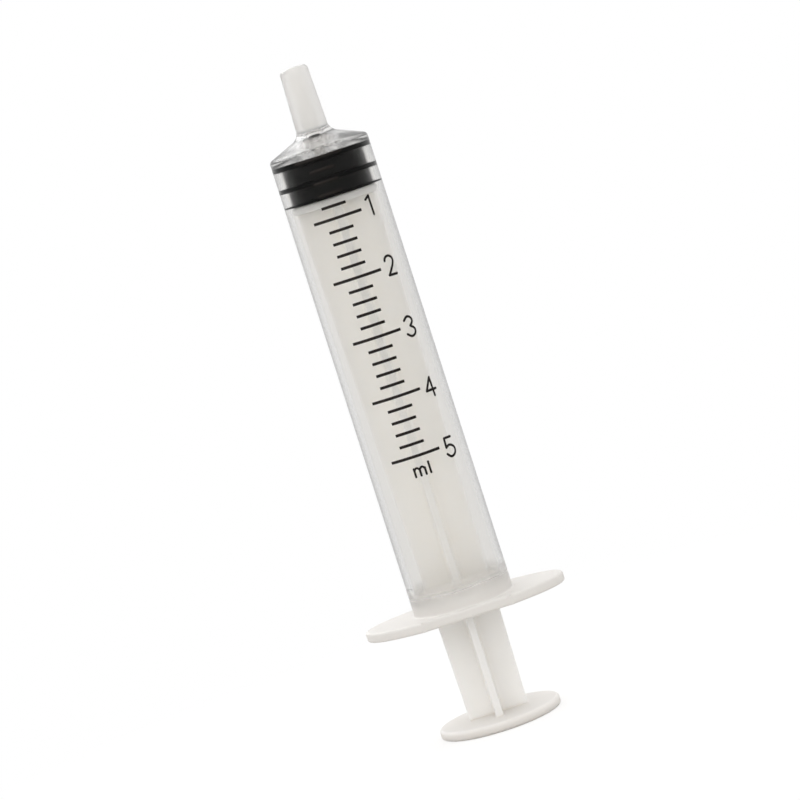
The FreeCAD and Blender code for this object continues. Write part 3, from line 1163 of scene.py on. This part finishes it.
@dataclass
class Studio:
    """Pale floor, white surroundings, soft lamps and the camera."""

    lens: float = 153.6
    sensor: float = 36.0
    clip: tuple[float, float] = (0.01, 20.0)  # metres
    distance: float = 464.5
    aim: tuple[float, float, float] = (0.116, 0.0, 46.305)
    pitch: float = 4.67  # degrees that the camera looks down
    roll: float = 17.77  # degrees that the syringe leans to the left in the picture
    backdrop: float = 1.0  # the white that the camera sees
    # The room's light on a matt surface, and on what stands inside the clear barrel
    ambient: Ramp = Ramp("Y", -0.5, 0.5, 0.92, 1.30)
    inside: Ramp = Ramp("Y", -0.5, 0.5, 1.26, 1.90)
    # What plastic lets through of the white behind, and of the dim ceiling, which starts from that
    through: Ramp = Ramp("X", -0.5, 0.5, 0.84, 0.75)
    ceiling: Ramp = Ramp("Z", 0.2, 0.5, 0.0, 0.1)
    # What gloss shows: the room from its dark front to its white back, and a window high up on the left
    room: Ramp = Ramp("Y", -0.2, 0.3, 0.2, 0.75)
    window_height: Ramp = Ramp("Z", 0.3, 0.6, 0.0, 6.0)
    window_side: Ramp = Ramp("X", -0.05, -0.3, 0.1, 1.0)
    #     The floor's glow where it is behind, in metres from the syringe: painted light on what stands
    #     inside the barrel, and a painted reflection in gloss, dark in front and pale behind
    floor_glow_inside: Ramp = Ramp("Y", -0.1, 0.1, 1.26, 1.90)
    floor_glow_in_gloss: Ramp = Ramp("Y", -0.1, 0.1, 0.2, 0.75)
    bounced: float = 0.5  # a ray with a diffuse depth above this comes from a matt surface
    floor_size: float = 4.0  # metres
    floor_colour: str = "#dcdad7"
    floor_seen: str = "#fbfaf8"
    shadow_share: float = 0.30  # how much of the shadow shows at the foot
    shadow_from: float = 20.0
    shadow_to: float = 110.0
    lamp_colour: str = "#fffdfa"

    def inside_light(self, tree: Tree, path: Node, behind: Socket, inside: Socket) -> Socket:
        """What a ray finds behind clear plastic.

        Args:
            tree: The node tree.
            path: Its Light Path node.
            behind: What the eye sees through the plastic.
            inside: The room's light on what stands inside the barrel.

        Returns:
            The room's light for a ray from a matt surface inside the barrel, or else what the eye sees.
        """
        from_inside = add_node(
            tree, "Math", {1: self.bounced}, {0: path.outputs["Diffuse Depth"]},
            operation="GREATER_THAN",
        )
        light = add_node(tree, "Mix", {}, {"Factor": from_inside.outputs[0], "A": behind, "B": inside})
        return light.outputs[0]

    def surroundings(self) -> None:
        """Builds the world: white behind, a shade less through plastic, and a soft room for the rest."""
        world = bpy.data.worlds.new("studio")
        world.use_nodes = True
        tree = world.node_tree
        tree.nodes.clear()
        path = add_node(tree, "LightPath")
        way = add_node(tree, "TexCoord")
        parts = add_node(tree, "SeparateXYZ", {}, {0: way.outputs["Generated"]})
        room, high, left, ambient, inside, through, ceiling = (
            add_node(tree, "MapRange", ramp.values, {"Value": parts.outputs[ramp.axis]}).outputs["Result"]
            for ramp in (
                self.room, self.window_height, self.window_side, self.ambient, self.inside, self.through,
                self.ceiling,
            )
        )
        tree.links.new(through, ceiling.node.inputs["To Min"])
        bright = add_node(tree, "Math", {}, {0: high, 1: left, 2: room}, operation="MULTIPLY_ADD")
        glossy = add_node(
            tree, "Mix", {},
            {"Factor": path.outputs["Is Glossy Ray"], "A": ambient, "B": bright.outputs[0]},
        )
        passed = add_node(
            tree, "Mix", {},
            {
                "Factor": path.outputs["Is Transmission Ray"], "A": glossy.outputs[0],
                "B": self.inside_light(tree, path, ceiling, inside),
            },
        )
        seen = add_node(
            tree, "Mix", {"B": self.backdrop},
            {"Factor": path.outputs["Is Camera Ray"], "A": passed.outputs[0]},
        )
        light = add_node(tree, "Background", {"Color": (1, 1, 1, 1)}, {"Strength": seen.outputs[0]})
        add_node(tree, "OutputWorld", {}, {"Surface": light.outputs[0]})
        bpy.context.scene.world = world

    def floor(self) -> None:
        """Builds the floor, which shows white, keeps the syringe's shadow near its foot and glows with
        painted light.
        """
        bpy.ops.object.select_all(action="DESELECT")
        bpy.ops.mesh.primitive_plane_add(size=self.floor_size, location=(0, 0, 0))
        floor = bpy.context.object
        floor.name = "floor"
        material, tree, surface = blank_material("pale_floor")
        path = add_node(tree, "LightPath")
        colour = mix_colours(tree, self.floor_colour, self.floor_seen, path.outputs["Is Camera Ray"])
        paint = add_node(
            tree, "BsdfPrincipled", {"Roughness": 1.0, "Specular IOR Level": 0.0}, {"Base Color": colour},
        )
        spot = add_node(tree, "TexCoord")
        parts = add_node(tree, "SeparateXYZ", {}, {0: spot.outputs["Object"]})
        gloss, inside, through = (
            add_node(tree, "MapRange", ramp.values, {"Value": parts.outputs[ramp.axis]}).outputs["Result"]
            for ramp in (self.floor_glow_in_gloss, self.floor_glow_inside, self.through)
        )
        looked_at = add_node(
            tree, "Mix", {"A": self.backdrop}, {"Factor": path.outputs["Is Glossy Ray"], "B": gloss},
        )
        level = add_node(
            tree, "Mix", {},
            {
                "Factor": path.outputs["Is Transmission Ray"], "A": looked_at.outputs[0],
                "B": self.inside_light(tree, path, through, inside),
            },
        )
        # painted light: the floor glows brighter than white into the barrel, and as a painted reflection
        # that is dim in front for gloss
        glow = add_node(tree, "Emission", {"Color": (1, 1, 1, 1)}, {"Strength": level.outputs[0]})
        far = add_node(tree, "VectorMath", {}, {0: spot.outputs["Object"]}, operation="LENGTH")
        fade = add_node(
            tree, "MapRange",
            {
                "From Min": self.shadow_from * MM, "From Max": self.shadow_to * MM,
                "To Min": 1 - self.shadow_share, "To Max": 1.0,
            },
            {"Value": far.outputs["Value"]},
        )
        share = fade.outputs["Result"]
        for ray, operation in (("Camera", "MULTIPLY"), ("Transmission", "MAXIMUM"), ("Glossy", "MAXIMUM")):
            links = {0: share, 1: path.outputs[f"Is {ray} Ray"]}
            share = add_node(tree, "Math", {}, links, operation=operation).outputs[0]
        both = add_node(tree, "MixShader", {}, {0: share, 1: paint.outputs[0], 2: glow.outputs[0]})
        tree.links.new(both.outputs[0], surface)
        floor.data.materials.append(material)

    def lamp(self, name: str, place_at: Sequence[float], size: float, power: float) -> None:
        """Adds a soft square lamp that looks at the syringe.

        Args:
            name: Its name.
            place_at: Its place in metres.
            size: The length of its side in metres.
            power: Its power in watts.
        """
        data = bpy.data.lights.new(name, "AREA")
        data.size = size
        data.energy = power
        data.color = linear(self.lamp_colour)[:3]
        lamp = bpy.data.objects.new(name, data)
        lamp.location = place_at
        target = Vector(self.aim) * MM
        lamp.rotation_euler = (target - lamp.location).to_track_quat("-Z", "Y").to_euler()
        bpy.context.scene.collection.objects.link(lamp)

    def camera(self) -> None:
        """Places the camera at the photograph's viewing angle."""
        data = bpy.data.cameras.new("camera")
        data.lens = self.lens
        data.sensor_width = self.sensor
        data.clip_start, data.clip_end = self.clip
        camera = bpy.data.objects.new("camera", data)
        pitch = math.radians(self.pitch)
        back = Vector((0, -math.cos(pitch), math.sin(pitch)))
        camera.location = (Vector(self.aim) + back * self.distance) * MM
        camera.rotation_mode = "QUATERNION"
        lean = Quaternion((0, 0, 1), -math.radians(self.roll))
        camera.rotation_quaternion = (-back).to_track_quat("-Z", "Y") @ lean
        bpy.context.scene.collection.objects.link(camera)
        bpy.context.scene.camera = camera

    def build(self) -> None:
        """Builds the studio."""
        bpy.context.scene.view_settings.view_transform = "Standard"
        self.surroundings()
        self.floor()
        self.lamp("key_lamp", place_at=(-0.15, -0.75, 0.7), size=0.8, power=2.0)
        self.lamp("top_lamp", place_at=(0.2, 0.2, 0.9), size=0.8, power=0.5)
        self.camera()


def main() -> None:
    """Builds the studio and the four pieces."""
    logging.basicConfig(level=logging.INFO, format="%(name)s: %(message)s")
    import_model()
    barrel = Barrel()
    Studio().build()
    barrel.build()
    Stopper(barrel).build()
    PlungerRod().build()
    ScalePrint(barrel).build()


if __name__ == "__main__":
    main()
